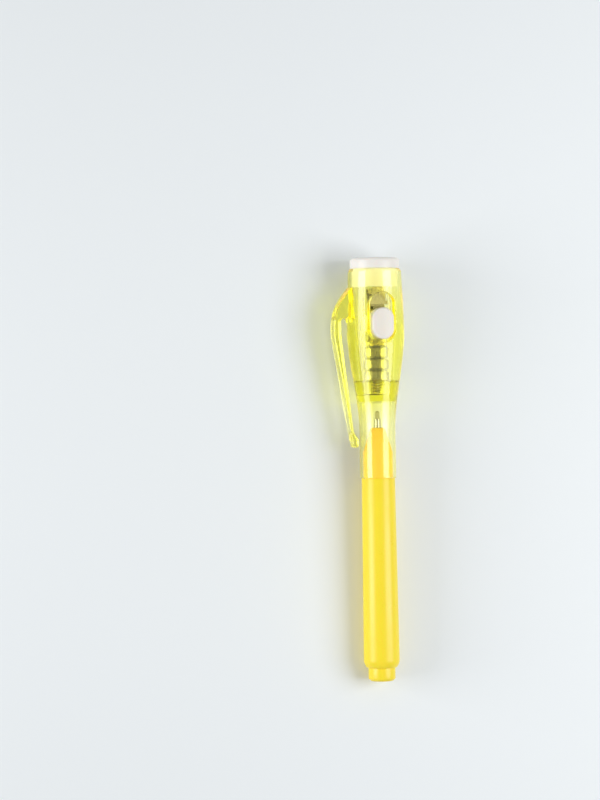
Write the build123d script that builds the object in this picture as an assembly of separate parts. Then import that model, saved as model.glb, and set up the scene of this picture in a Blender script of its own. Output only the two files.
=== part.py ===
from build123d import *
import os
from math import cos, pi, sin, sqrt

# A felt-tip pen for ink that shows only under ultraviolet light. Its see-through cap holds a small lamp with
# three button cells, a push button and a moulded pocket clip. Sizes are in millimetres.
# The pen lies along +Y: y = 0 is the end face of the tail plug, and the lamp is at the far end.
# +Z goes up through the push button, and the pocket clip is on the -X side.

# Clearances
PRESS_FIT = 0.02        # gap of a pushed-in piece that stays put
SLIDE_FIT = 0.05        # gap of a piece that slides along its bore
RUN_GAP = 0.2           # gap round pieces that move past each other
TOUCH_GAP = 0.05        # gap between electric contacts on different moving pieces
CUT_PAST = 1.0          # how far a cutting shape runs past the face it opens

# Tail plug
TAIL_PLUG_HEAD = 4.2
TAIL_PLUG_R = 4.2
TAIL_PLUG_EDGE = 0.7
TAIL_PLUG_SPIGOT = 6.0
TAIL_PLUG_WALL = 1.2

# Barrel
BARREL_LENGTH = 59.1
BARREL_TAIL_R = 5.62
BARREL_FRONT_R = 5.2
BARREL_BORE_R = 3.85
BARREL_END_R = 4.7
BARREL_END_ROUND = 2.4

# Ink store
INK_GAP = 0.15
FILM_THICK = 0.1
NIB_INTO_INK = 6.0

# Grip section, nib sleeve and nib
SECTION_SPIGOT = 8.0
SECTION_NECK = 8.0
SECTION_FRONT_R = 2.4
SECTION_FRONT_EDGE = 0.5
SECTION_BORE_R = 1.6
SLEEVE_R = 0.95
SLEEVE_HELD = 7.0
SLEEVE_OUT = 3.0
SLEEVE_EDGE = 0.15
NIB_R = 0.75
NIB_OUT = 2.4
NIB_ROOM = 2.8          # from the nib's tip to the end of the cap's bore

# Cap, outside
CAP_LENGTH = 65.3
CAP_NECK_R = 5.6
CAP_NECK_LENGTH = 14.7
CAP_BELLY_R = 8.95
CAP_SWELL_LENGTH = 31.5
CAP_RIM_R = 8.33
CAP_RIM_EDGE = 0.45
CAP_MOUTH_EDGE = 0.2

# Cap, inside
CAP_BORE_R = 4.7
PARTITION = 2.5
WELL_R = 2.6
WELL_DEPTH = 4.1
CHAMBER_R = 7.2
CHAMBER_FOOT_R = 5.1

# Oval opening in the cap and the push button
OPENING_LENGTH = 15.4
OPENING_WIDTH = 7.8
OPENING_ABOVE_CELLS = 1.0
OPENING_BELOW_PLUG = 1.7
OPENING_EDGE = 0.3
BUTTON_LENGTH = 9.8
BUTTON_WIDTH = 6.9
BUTTON_FROM_END = 0.8
BUTTON_PROUD = 0.5
BUTTON_EDGE = 0.6
BUTTON_TRAVEL = 0.6
WING_SPAN = 9.2
WING_LENGTH = 5.0
WING_CORNER = 1.0
PIP_R = 0.9

# Pocket clip
CLIP_TOP_DROP = 5.7     # these drops are measured from the cap's rim
CLIP_GAP_DROP = 15.2
CLIP_CREST_DROP = 19.1
CLIP_KNEE_DROP = 20.8
CLIP_TIP_DROP = 55.8
CLIP_REACH = 14.05
CLIP_TIP_REACH = 8.4
CLIP_ROOT_THICK = 2.3
CLIP_TIP_THICK = 1.0
CLIP_TIP_GAP = 0.9
CLIP_BUMP_LENGTH = 6.0
CLIP_ROOT_WIDTH = 5.2
CLIP_TIP_WIDTH = 4.0
CLIP_EDGE = 0.45

# Button cells and their holder
CELL_R = 3.95
CELL_HEIGHT = 3.6
CELL_COUNT = 3
CELL_EDGE = 0.3
CELL_FACE_R = 3.2
CELL_STEP = 0.3
CELL_GAP = 0.08
CARRIER_WALL = 0.8
CARRIER_BASE = 1.2
CARRIER_LUG = 0.8
CARRIER_LUG_R = 2.6
RAIL_WIDTH = 3.0

# Metal contacts
STRIP_THICK = 0.3
PAD_R = 3.0
PAD_UPSTAND = 1.4
LEAF_WIDTH = 3.8
LEAF_THICK = 0.25
LEAF_Z = 3.85           # inner face of the leaf and of the lamp plate above the axis
LEAF_LAP = 1.0
LEAF_PAST_BUTTON = 0.7
PLATE_WIDTH = 4.4
PLATE_LIP_WIDTH = 5.6
PLATE_LIP = 1.0
PLATE_GAP = 0.5
PLATE_HELD = 1.5
TONGUE_LAP = 1.2
RETURN_WIDTH = 3.0
RETURN_Z = 4.75         # outer face of the return strip below the axis
RETURN_TOP_DROP = 1.0

# Conical contact spring
SPRING_WIRE = 0.4
SPRING_SMALL_R = 1.0
SPRING_LARGE_R = 2.1
SPRING_TURNS = 4

# Lamp and the white plug that holds it
LIGHT_PLUG_HEAD = 3.4
LIGHT_PLUG_R = 7.7
LIGHT_PLUG_EDGE = 1.0
LIGHT_PLUG_SPIGOT = 5.8
LED_R = 2.5
LED_FLANGE_R = 2.9
LED_FLANGE = 1.0
LED_LENGTH = 8.6
LED_MOUTH_EDGE = 0.5
LEG_SIDE = 0.5
LEG_PITCH = 2.54
ANODE_DROP = 2.4
CATHODE_DROP = 3.0

# The cap's bore takes the length that the lamp, the opening and the cells leave, and the grip follows it
LAMP_LENGTH = OPENING_ABOVE_CELLS + OPENING_LENGTH + OPENING_BELOW_PLUG + LIGHT_PLUG_SPIGOT
CAP_BORE_DEPTH = CAP_LENGTH - LAMP_LENGTH - CELL_COUNT * CELL_HEIGHT - WELL_DEPTH - PARTITION
SECTION_LENGTH = CAP_BORE_DEPTH - NIB_ROOM - NIB_OUT - SLEEVE_OUT

# Places along the pen
BARREL_TAIL = TAIL_PLUG_HEAD
INK_TAIL = BARREL_TAIL + TAIL_PLUG_SPIGOT
CAP_MOUTH = BARREL_TAIL + BARREL_LENGTH
SECTION_REAR = CAP_MOUTH - SECTION_SPIGOT
SECTION_FRONT = CAP_MOUTH + SECTION_LENGTH
SLEEVE_REAR = SECTION_FRONT - SLEEVE_HELD
SLEEVE_FRONT = SECTION_FRONT + SLEEVE_OUT
NIB_REAR = SECTION_REAR - NIB_INTO_INK
NIB_TIP = SLEEVE_FRONT + NIB_OUT
CAP_RIM = CAP_MOUTH + CAP_LENGTH
WELL_FLOOR = CAP_MOUTH + CAP_BORE_DEPTH + PARTITION
CELL_FLOOR = WELL_FLOOR + WELL_DEPTH
STACK_TOP = CELL_FLOOR + CELL_COUNT * CELL_HEIGHT
PAD_TOP = STACK_TOP + STRIP_THICK
CARRIER_TOP = PAD_TOP + CARRIER_LUG
PIVOT = PAD_TOP + PAD_UPSTAND
OPENING_LOW = STACK_TOP + OPENING_ABOVE_CELLS
BUTTON_LOW = OPENING_LOW + BUTTON_FROM_END
BUTTON_MID = BUTTON_LOW + BUTTON_LENGTH / 2
LEAF_TIP = BUTTON_LOW + BUTTON_LENGTH + LEAF_PAST_BUTTON
PLATE_LOW = LEAF_TIP + PLATE_GAP
PLUG_FOOT = CAP_RIM - LIGHT_PLUG_SPIGOT
LIGHT_END = CAP_RIM + LIGHT_PLUG_HEAD

# Sizes shared by mating pieces
INK_R = BARREL_BORE_R - INK_GAP - FILM_THICK
CARRIER_BORE_R = CELL_R + CELL_GAP
CARRIER_R = CARRIER_BORE_R + CARRIER_WALL
LEAF_TOP = LEAF_Z + LEAF_THICK
PIP_LOW = LEAF_TOP + TOUCH_GAP
BUTTON_UNDER = PIP_LOW + BUTTON_TRAVEL + RUN_GAP
WING_UNDER = RAIL_WIDTH / 2 + BUTTON_TRAVEL + RUN_GAP
RETURN_INNER = RETURN_Z - STRIP_THICK
LEG_OFFSET = LEG_PITCH / 2
LEAF_SWING = BUTTON_TRAVEL * (LEAF_TIP - PIVOT) / (BUTTON_MID - PIVOT)
TONGUE_TOP = LEAF_Z - LEAF_SWING - TOUCH_GAP


def rod(radius, start, end):
    """Round bar on the pen's axis."""
    standing = Cylinder(radius, end - start, align=(Align.CENTER, Align.CENTER, Align.MIN))
    return Pos(0, start, 0) * Rot(-90, 0, 0) * standing


def block(low, high):
    """Box between two opposite corners."""
    size = Vector(*high) - Vector(*low)
    return Pos(*low) * Box(size.X, size.Y, size.Z, align=(Align.MIN, Align.MIN, Align.MIN))


def strip(width, start, end, low, high):
    """Flat bar centred on x = 0, from start to end along the pen and from low to high across it."""
    return block((-width / 2, start, low), (width / 2, end, high))


def turned(edges):
    """Solid of revolution about the pen's axis from a closed half outline of (radius, place) edges."""
    return revolve(make_face(edges), axis=Axis.Y)


def turned_polygon(*points):
    """Solid of revolution from the corners of its half outline."""
    return turned(Polyline(*points, close=True).edges())


def tail_plug():
    """Hollow plug with a chamfered head that closes the barrel's tail."""
    spigot = BARREL_BORE_R - PRESS_FIT
    hollow = spigot - TAIL_PLUG_WALL
    return turned_polygon(
        (0, 0),
        (TAIL_PLUG_R - TAIL_PLUG_EDGE, 0),
        (TAIL_PLUG_R, TAIL_PLUG_EDGE),
        (TAIL_PLUG_R, BARREL_TAIL),
        (spigot, BARREL_TAIL),
        (spigot, INK_TAIL),
        (hollow, INK_TAIL),
        (hollow, BARREL_TAIL),
        (0, BARREL_TAIL),
    )


def barrel():
    """Tapered tube, widest near the tail, with a rounded tail end."""
    shoulder = (BARREL_TAIL_R, BARREL_TAIL + BARREL_END_ROUND)
    end = (BARREL_END_R, BARREL_TAIL)
    front = (BARREL_FRONT_R, CAP_MOUTH)
    return turned([
        TangentArc(shoulder, end, tangent=(0, -1)),
        *Polyline(end, (BARREL_BORE_R, BARREL_TAIL), (BARREL_BORE_R, CAP_MOUTH), front, shoulder).edges(),
    ])


def ink_reservoir():
    """Fibre rod that holds the ink, with the hole that the nib's rear end makes in it."""
    return rod(INK_R, INK_TAIL, SECTION_REAR) - rod(NIB_R + PRESS_FIT, NIB_REAR, SECTION_REAR + CUT_PAST)


def reservoir_film():
    """Thin film wrap round the ink rod."""
    bore = rod(INK_R, INK_TAIL - CUT_PAST, SECTION_REAR + CUT_PAST)
    return rod(INK_R + FILM_THICK, INK_TAIL, SECTION_REAR) - bore


def grip_section():
    """Grip that plugs into the barrel, fits the cap's bore and tapers to the nib."""
    spigot = BARREL_BORE_R - PRESS_FIT
    neck = CAP_BORE_R - SLIDE_FIT
    sleeve_bore = SLEEVE_R + PRESS_FIT
    return turned_polygon(
        (SECTION_BORE_R, SECTION_REAR),
        (spigot, SECTION_REAR),
        (spigot, CAP_MOUTH),
        (neck, CAP_MOUTH),
        (neck, CAP_MOUTH + SECTION_NECK),
        (SECTION_FRONT_R, SECTION_FRONT - SECTION_FRONT_EDGE),
        (SECTION_FRONT_R - SECTION_FRONT_EDGE, SECTION_FRONT),
        (sleeve_bore, SECTION_FRONT),
        (sleeve_bore, SLEEVE_REAR),
        (SECTION_BORE_R, SLEEVE_REAR),
    )


def nib_sleeve():
    """Metal sleeve that holds the nib in the grip section."""
    bore = NIB_R + PRESS_FIT
    return turned_polygon(
        (bore, SLEEVE_REAR),
        (SLEEVE_R, SLEEVE_REAR),
        (SLEEVE_R, SLEEVE_FRONT - SLEEVE_EDGE),
        (SLEEVE_R - SLEEVE_EDGE, SLEEVE_FRONT),
        (bore, SLEEVE_FRONT),
    )


def nib():
    """Fibre rod with a round tip that reaches back into the ink store."""
    dome = (NIB_R, NIB_TIP - NIB_R)
    tip = (0, NIB_TIP)
    return turned([
        TangentArc(dome, tip, tangent=(0, 1)),
        *Polyline(tip, (0, NIB_REAR), (NIB_R, NIB_REAR), dome).edges(),
    ])


def cap_outline():
    """Cap without its hollows: straight neck, swelling belly, slightly drawn-in rim."""
    neck_end = CAP_MOUTH + CAP_NECK_LENGTH
    belly = neck_end + CAP_SWELL_LENGTH
    third = CAP_SWELL_LENGTH / 3
    rim_side = CAP_RIM - 2 * CAP_RIM_EDGE
    upper = (rim_side - belly) / 3
    return turned([
        *Polyline(
            (CAP_NECK_R, neck_end),
            (CAP_NECK_R, CAP_MOUTH + CAP_MOUTH_EDGE),
            (CAP_NECK_R - CAP_MOUTH_EDGE, CAP_MOUTH),
            (0, CAP_MOUTH),
            (0, CAP_RIM),
            (CAP_RIM_R - CAP_RIM_EDGE, CAP_RIM),
            (CAP_RIM_R, rim_side),
        ).edges(),
        Bezier(
            (CAP_RIM_R, rim_side),
            ((CAP_RIM_R * 2 + CAP_BELLY_R) / 3, rim_side - upper),
            (CAP_BELLY_R, belly + upper),
            (CAP_BELLY_R, belly),
        ),
        Bezier(
            (CAP_BELLY_R, belly),
            (CAP_BELLY_R, belly - third),
            (CAP_NECK_R, neck_end + third),
            (CAP_NECK_R, neck_end),
        ),
    ])


def pocket_clip():
    """Pocket clip with a solid root, a curved shoulder, a straight tapering blade and a bump at its tip."""
    top = CAP_RIM - CLIP_TOP_DROP
    gap_top = CAP_RIM - CLIP_GAP_DROP
    crest = CAP_RIM - CLIP_CREST_DROP
    knee = CAP_RIM - CLIP_KNEE_DROP
    tip = CAP_RIM - CLIP_TIP_DROP
    root = -(CHAMBER_R + CAP_RIM_R) / 2
    inner = -(CLIP_REACH - CLIP_ROOT_THICK)
    bump = -(CAP_NECK_R + CLIP_TIP_GAP)
    peak = tip + (CLIP_TIP_REACH + bump) / 2
    slope = (CLIP_REACH - CLIP_TIP_REACH) / (knee - peak)
    bend = crest - knee
    blade_top = (-CLIP_REACH + slope * bend, knee - bend)
    bump_top = tip + CLIP_BUMP_LENGTH
    bump_half = (bump_top - peak) / 2
    blade_low = -CLIP_TIP_REACH - slope * (bump_top - peak) + CLIP_TIP_THICK
    inner_slope = (blade_low - inner) / (knee - bump_top)
    inner_top = (inner + inner_slope * bend, knee - bend)
    arch_r = (-inner - CAP_BELLY_R) / 2
    arch_foot = gap_top - arch_r
    outline = [
        Bezier(
            (-CAP_RIM_R, top),
            (-(CAP_RIM_R + CLIP_REACH) / 2, top - (top - crest) / 4),
            (-CLIP_REACH, (top + crest) / 2),
            (-CLIP_REACH, crest),
        ),
        Bezier((-CLIP_REACH, crest), (-CLIP_REACH, knee), blade_top),
        Line(blade_top, (-CLIP_TIP_REACH, peak)),
        TangentArc((-CLIP_TIP_REACH, peak), (bump, peak), tangent=(slope, -1)),
        Bezier(
            (bump, peak),
            (bump + slope * bump_half, peak + bump_half),
            (blade_low + inner_slope * bump_half, bump_top - bump_half),
            (blade_low, bump_top),
        ),
        Line((blade_low, bump_top), inner_top),
        Bezier(inner_top, (inner, knee), (inner, crest)),
        Line((inner, crest), (inner, arch_foot)),
        ThreePointArc((inner, arch_foot), (inner + arch_r, gap_top), (-CAP_BELLY_R, arch_foot)),
        *Polyline(
            (-CAP_BELLY_R, arch_foot),
            (root, arch_foot),
            (root, top),
            (-CAP_RIM_R, top),
        ).edges(),
    ]
    half_root = CLIP_ROOT_WIDTH / 2
    half_tip = CLIP_TIP_WIDTH / 2
    side = Pos(0, 0, -half_root) * extrude(make_face(outline), CLIP_ROOT_WIDTH)
    facing = Plane(origin=(0, 0, 0), x_dir=(0, 0, 1), z_dir=(-1, 0, 0))
    corners = [(half_tip, tip), (half_root, top), (-half_root, top), (-half_tip, tip)]
    taper = make_face(Polyline(*corners, close=True))
    clip = side & extrude(facing * taper, CLIP_REACH + CUT_PAST)
    blade_edges = clip.edges().sort_by(SortBy.LENGTH)[-4:]
    return fillet(blade_edges, CLIP_EDGE)


def cap_opening():
    """Prism of the oval opening for the push button."""
    oval = Rot(0, 0, 90) * SlotOverall(OPENING_LENGTH, OPENING_WIDTH)
    return Pos(0, OPENING_LOW + OPENING_LENGTH / 2, 0) * extrude(oval, CAP_BELLY_R + CUT_PAST)


def lamp_chamber(gap):
    """Room above the cells that widens up to the lamp's plug, drawn in by a gap all round."""
    return turned_polygon(
        (0, CELL_FLOOR),
        (CHAMBER_FOOT_R - gap, CELL_FLOOR),
        (CHAMBER_R - gap, PLUG_FOOT),
        (CHAMBER_R - gap, CAP_RIM + CUT_PAST),
        (0, CAP_RIM + CUT_PAST),
    )


def cap_shell():
    """See-through cap with its clip: bore for the pen below, spring well and lamp chamber above."""
    shell = cap_outline() + pocket_clip()
    shell -= rod(CAP_BORE_R, CAP_MOUTH - CUT_PAST, CAP_MOUTH + CAP_BORE_DEPTH)
    shell -= rod(WELL_R, WELL_FLOOR, CELL_FLOOR)
    shell -= lamp_chamber(0)
    slot_depth = RETURN_Z + SLIDE_FIT
    shell -= strip(RETURN_WIDTH + 2 * SLIDE_FIT, WELL_FLOOR, CELL_FLOOR, -slot_depth, 0)
    shell -= cap_opening()
    wall_middle = (CHAMBER_R + CAP_RIM_R) / 2
    oval_reach = OPENING_LOW + OPENING_LENGTH + OPENING_EDGE
    lip = [
        edge
        for edge in shell.edges()
        if edge.center().Z > OPENING_WIDTH / 2
        and OPENING_LOW - OPENING_EDGE < edge.center().Y < oval_reach
        and Vector(edge.position_at(0.5).X, edge.position_at(0.5).Z).length > wall_middle
    ]
    return fillet(lip, OPENING_EDGE)


def cell_carrier():
    """Clear holder: slit ring round the cells with a foot and a lip, and two rails up to the lamp's plug."""
    rail_top = PLUG_FOOT - TOUCH_GAP
    tube = rod(CARRIER_R, CELL_FLOOR, rail_top)
    rails = tube & block((-CARRIER_R, CARRIER_TOP, -RAIL_WIDTH / 2), (CARRIER_R, rail_top, RAIL_WIDTH / 2))
    foot = rod(CHAMBER_FOOT_R - RUN_GAP / 2, CELL_FLOOR, CELL_FLOOR + CARRIER_BASE)
    body = foot + rod(CARRIER_R, CELL_FLOOR, CARRIER_TOP) + rails
    body -= rod(CARRIER_BORE_R, CELL_FLOOR - CUT_PAST, PAD_TOP)
    body -= rod(CARRIER_LUG_R, PAD_TOP - CUT_PAST, CARRIER_TOP)
    body -= rod(CARRIER_BORE_R, CARRIER_TOP, rail_top + CUT_PAST)
    body -= strip(LEAF_WIDTH + 2 * RUN_GAP, STACK_TOP - RUN_GAP, CARRIER_TOP, 0, CARRIER_R)
    body -= strip(RETURN_WIDTH + 2 * RUN_GAP, CELL_FLOOR, CARRIER_TOP, -CHAMBER_FOOT_R, 0)
    return body


def button_cell(index):
    """One button cell: rounded can below, smaller raised face above."""
    low = CELL_FLOOR + index * CELL_HEIGHT
    high = low + CELL_HEIGHT
    return turned_polygon(
        (0, low),
        (CELL_R - CELL_EDGE, low),
        (CELL_R, low + CELL_EDGE),
        (CELL_R, high - CELL_STEP - CELL_EDGE),
        (CELL_R - CELL_EDGE, high - CELL_STEP),
        (CELL_FACE_R, high - CELL_STEP),
        (CELL_FACE_R, high),
        (0, high),
    )


def spring_point(turn):
    """Centre of the spring's wire after a number of turns from its narrow end."""
    share = turn / SPRING_TURNS
    radius = SPRING_SMALL_R + share * (SPRING_LARGE_R - SPRING_SMALL_R)
    start = WELL_FLOOR + STRIP_THICK + SPRING_WIRE / 2
    end = CELL_FLOOR - SPRING_WIRE / 2
    angle = 2 * pi * turn
    return Vector(radius * cos(angle), start + share * (end - start), radius * sin(angle))


def spring_direction(turn):
    """Direction of the spring's wire after a number of turns."""
    step = 0.0005
    return (spring_point(turn + step) - spring_point(turn - step)).normalized()


def biarc(start, start_dir, end, end_dir):
    """Two tangent arcs from one point and direction to another."""
    span = end - start
    both = start_dir + end_dir
    along = span.dot(both)
    bend = 2 * (1 - start_dir.dot(end_dir))
    reach = (sqrt(along * along + bend * span.dot(span)) - along) / bend
    middle = (start + start_dir * reach + end - end_dir * reach) * 0.5
    first = TangentArc(start, middle, tangent=start_dir)
    return [first, TangentArc(middle, end, tangent=first % 1)]


def contact_spring():
    """Conical spring between the return strip's foot and the lowest cell, wide end up."""
    quarters = SPRING_TURNS * 4
    path = []
    for quarter in range(quarters):
        now = quarter / 4
        later = now + 1 / 4
        path += biarc(spring_point(now), spring_direction(now), spring_point(later), spring_direction(later))
    wire = Wire(path)
    section = Plane(origin=wire @ 0, z_dir=wire % 0) * Circle(SPRING_WIRE / 2)
    steps = 24
    gaps = [
        (spring_point(i / steps) - spring_point(j / steps)).length - SPRING_WIRE
        for i in range(SPRING_TURNS * steps + 1)
        for j in range(i + steps // 2, SPRING_TURNS * steps + 1)
    ]
    print("least gap between the spring's turns", round(min(gaps), 3))
    return sweep(section, path=wire)


def return_strip():
    """Metal strip: foot under the spring, riser up past the cells to the lamp's leg."""
    foot = strip(RETURN_WIDTH, WELL_FLOOR, WELL_FLOOR + STRIP_THICK, -RETURN_Z, SPRING_SMALL_R + SPRING_WIRE)
    riser = strip(RETURN_WIDTH, WELL_FLOOR, PLUG_FOOT - RETURN_TOP_DROP, -RETURN_Z, -RETURN_INNER)
    return foot + riser


def cell_contact():
    """Metal pad on the top cell with an upstand that carries the leaf."""
    arm = strip(LEAF_WIDTH, STACK_TOP, PAD_TOP, 0, LEAF_Z)
    upstand = strip(LEAF_WIDTH, STACK_TOP, PIVOT, LEAF_Z - STRIP_THICK, LEAF_Z)
    return rod(PAD_R, STACK_TOP, PAD_TOP) + arm + upstand


def switch_leaf():
    """Springy strip from the upstand to just past the button; its tip closes the switch."""
    return strip(LEAF_WIDTH, PIVOT - LEAF_LAP, LEAF_TIP, LEAF_Z, LEAF_TOP)


def button():
    """Oval push button with a crowned top, side wings under the cap's wall and a round pip on the leaf."""
    place = Pos(0, BUTTON_MID, 0)
    oval = Rot(0, 0, 90) * SlotOverall(BUTTON_LENGTH, BUTTON_WIDTH)
    top = CAP_BELLY_R + BUTTON_PROUD
    body = place * Pos(0, 0, BUTTON_UNDER) * extrude(oval, top)
    body &= rod(top, BUTTON_LOW - CUT_PAST, LEAF_TIP + CUT_PAST)
    crown = [edge for edge in body.edges() if edge.center().Z > CAP_BELLY_R - BUTTON_WIDTH / 4]
    body = fillet(crown, BUTTON_EDGE)
    outline = RectangleRounded(WING_SPAN, WING_LENGTH, WING_CORNER)
    wings = place * Pos(0, 0, WING_UNDER) * extrude(outline, CHAMBER_R)
    wings &= lamp_chamber(RUN_GAP / 2)
    wings -= strip(LEAF_WIDTH + 2 * RUN_GAP, BUTTON_LOW, BUTTON_LOW + BUTTON_LENGTH, 0, BUTTON_UNDER)
    pip = Pos(0, BUTTON_MID, PIP_LOW + PIP_R) * Sphere(PIP_R)
    return body + wings + pip


def lamp_plate():
    """Metal plate from the lamp's plug down to a stepped tongue below the leaf's tip."""
    top = PLUG_FOOT + PLATE_HELD
    plate = strip(PLATE_WIDTH, PLATE_LOW, top, LEAF_Z, LEAF_Z + STRIP_THICK)
    lip = strip(PLATE_LIP_WIDTH, PLATE_LOW, PLATE_LOW + PLATE_LIP, LEAF_Z, LEAF_Z + STRIP_THICK)
    step_top = PLATE_LOW + STRIP_THICK
    tongue_under = TONGUE_TOP - STRIP_THICK
    step = strip(PLATE_WIDTH, PLATE_LOW, step_top, tongue_under, LEAF_Z + STRIP_THICK)
    tongue = strip(PLATE_WIDTH, LEAF_TIP - TONGUE_LAP, step_top, tongue_under, TONGUE_TOP)
    return plate + lip + step + tongue


def light_plug():
    """White plug: round-edged head, spigot in the cap's rim, through hole and seat for the lamp."""
    spigot = CHAMBER_R - SLIDE_FIT
    lamp_bore = LED_R + PRESS_FIT
    seat = LED_FLANGE_R + PRESS_FIT
    edge = (LIGHT_PLUG_R, LIGHT_END - LIGHT_PLUG_EDGE)
    face = (LIGHT_PLUG_R - LIGHT_PLUG_EDGE, LIGHT_END)
    plug = turned([
        TangentArc(edge, face, tangent=(0, 1)),
        *Polyline(
            face,
            (lamp_bore + LED_MOUTH_EDGE, LIGHT_END),
            (lamp_bore, LIGHT_END - LED_MOUTH_EDGE),
            (lamp_bore, PLUG_FOOT + LED_FLANGE),
            (seat, PLUG_FOOT + LED_FLANGE),
            (seat, PLUG_FOOT),
            (spigot, PLUG_FOOT),
            (spigot, CAP_RIM),
            (LIGHT_PLUG_R, CAP_RIM),
            edge,
        ).edges(),
    ])
    slot = strip(
        PLATE_WIDTH + 2 * PRESS_FIT,
        PLUG_FOOT,
        PLUG_FOOT + PLATE_HELD,
        LEAF_Z - PRESS_FIT,
        LEAF_Z + STRIP_THICK + PRESS_FIT,
    )
    return plug - slot


def uv_led():
    """Round lamp with a collar below and a domed lens above."""
    dome = (LED_R, PLUG_FOOT + LED_LENGTH - LED_R)
    tip = (0, PLUG_FOOT + LED_LENGTH)
    return turned([
        TangentArc(dome, tip, tangent=(0, 1)),
        *Polyline(
            tip,
            (0, PLUG_FOOT),
            (LED_FLANGE_R, PLUG_FOOT),
            (LED_FLANGE_R, PLUG_FOOT + LED_FLANGE),
            (LED_R, PLUG_FOOT + LED_FLANGE),
            dome,
        ).edges(),
    ])


def led_leg(side, drop, reach):
    """Square wire leg from the lamp down by drop, then out to a contact at reach from the axis."""
    half = LEG_SIDE / 2
    low = PLUG_FOOT - drop
    down = strip(LEG_SIDE, low, PLUG_FOOT, LEG_OFFSET - half, LEG_OFFSET + half)
    across = strip(LEG_SIDE, low, low + LEG_SIDE, LEG_OFFSET - half, reach)
    leg = down + across
    return leg if side > 0 else mirror(leg, Plane.XY)


def main():
    """Build every piece and write one file for each."""
    pieces = {
        "tail_plug": tail_plug(),
        "barrel": barrel(),
        "ink_reservoir": ink_reservoir(),
        "reservoir_film": reservoir_film(),
        "grip_section": grip_section(),
        "nib_sleeve": nib_sleeve(),
        "nib": nib(),
        "cap_shell": cap_shell(),
        "cell_carrier": cell_carrier(),
        "contact_spring": contact_spring(),
        "return_strip": return_strip(),
        "cell_contact": cell_contact(),
        "switch_leaf": switch_leaf(),
        "button": button(),
        "lamp_plate": lamp_plate(),
        "light_plug": light_plug(),
        "uv_led": uv_led(),
        "led_anode_leg": led_leg(1, ANODE_DROP, LEAF_Z),
        "led_cathode_leg": led_leg(-1, CATHODE_DROP, RETURN_INNER - TOUCH_GAP),
    }
    for index in range(CELL_COUNT):
        pieces[f"button_cell_{index + 1}"] = button_cell(index)
    os.makedirs("parts", exist_ok=True)
    for name, shape in pieces.items():
        export_step(shape, f"parts/{name}.step")


main()
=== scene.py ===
"""Looks of a felt-tip pen for ink that shows only under ultraviolet light.

A see-through cap holds a small lamp with three button cells and a push button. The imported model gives
every piece its place. This script keeps the solids whose shape is right, models finer pieces for the
others, gives every piece its finish and sets up a plain studio.
"""

import logging
import math
from dataclasses import dataclass
from enum import Enum
from typing import Sequence

import bmesh
import bpy
from mathutils import Matrix, Vector


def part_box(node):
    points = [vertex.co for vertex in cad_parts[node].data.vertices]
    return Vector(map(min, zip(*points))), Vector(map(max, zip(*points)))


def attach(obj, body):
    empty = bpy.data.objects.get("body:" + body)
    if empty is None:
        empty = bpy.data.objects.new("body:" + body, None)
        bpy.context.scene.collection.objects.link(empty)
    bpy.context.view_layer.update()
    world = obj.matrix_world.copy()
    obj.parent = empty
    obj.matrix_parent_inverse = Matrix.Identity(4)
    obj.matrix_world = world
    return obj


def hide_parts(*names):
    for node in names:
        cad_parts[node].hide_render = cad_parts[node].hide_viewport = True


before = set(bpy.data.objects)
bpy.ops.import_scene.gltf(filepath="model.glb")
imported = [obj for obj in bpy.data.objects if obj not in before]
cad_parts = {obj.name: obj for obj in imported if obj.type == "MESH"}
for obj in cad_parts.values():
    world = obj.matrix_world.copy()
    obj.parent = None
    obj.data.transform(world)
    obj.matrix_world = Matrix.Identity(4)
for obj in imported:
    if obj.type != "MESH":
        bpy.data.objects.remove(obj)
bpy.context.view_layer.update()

LOG = logging.getLogger("pen")
MM = 0.001
ROUND_SEGMENTS = 128
SMALL_SEGMENTS = 64
EDGE_STEPS = 3
ARC_STEPS = 10
SHARP_ANGLE = math.radians(28)
MERGE_DISTANCE = 0.0001
PLASTIC_INDEX = 1.5
WALL_PASS = 0.55
PEN_AXIS = Vector((0, 1, 0))

Point = tuple[float, float]
Span = tuple[float, float]


class Body(Enum):
    """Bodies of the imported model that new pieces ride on."""

    PEN = "pen"
    CAP = "cap"
    LAMP = "lamp"
    LEAF = "leaf"


class Slot(Enum):
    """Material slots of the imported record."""

    OPAQUE_YELLOW = "opaque_yellow"
    GRIP_YELLOW = "grip_yellow"
    WHITE_PLASTIC = "white_plastic"
    CELL_STEEL = "cell_steel"
    CONTACT_METAL = "contact_metal"
    TINNED_WIRE = "tinned_wire"


class Effect(Enum):
    """Surface effects that several finishes share, each a shader node group."""

    MOULDED_SKIN = "moulded_skin"
    RUB_MARKS = "rub_marks"
    DRAWN_METAL = "drawn_metal"
    FIBRE_BUNDLE = "fibre_bundle"


def paint(code: str) -> tuple[float, float, float, float]:
    """Turn a screen colour into the linear colour that shaders take.

    Args:
        code: Six hexadecimal digits, red, green and blue.

    Returns:
        Linear red, green, blue and alpha.
    """
    levels = [int(code[place:place + 2], 16) / 255 for place in (0, 2, 4)]
    linear = [level / 12.92 if level <= 0.04045 else ((level + 0.055) / 1.055) ** 2.4 for level in levels]
    return (linear[0], linear[1], linear[2], 1.0)


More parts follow.
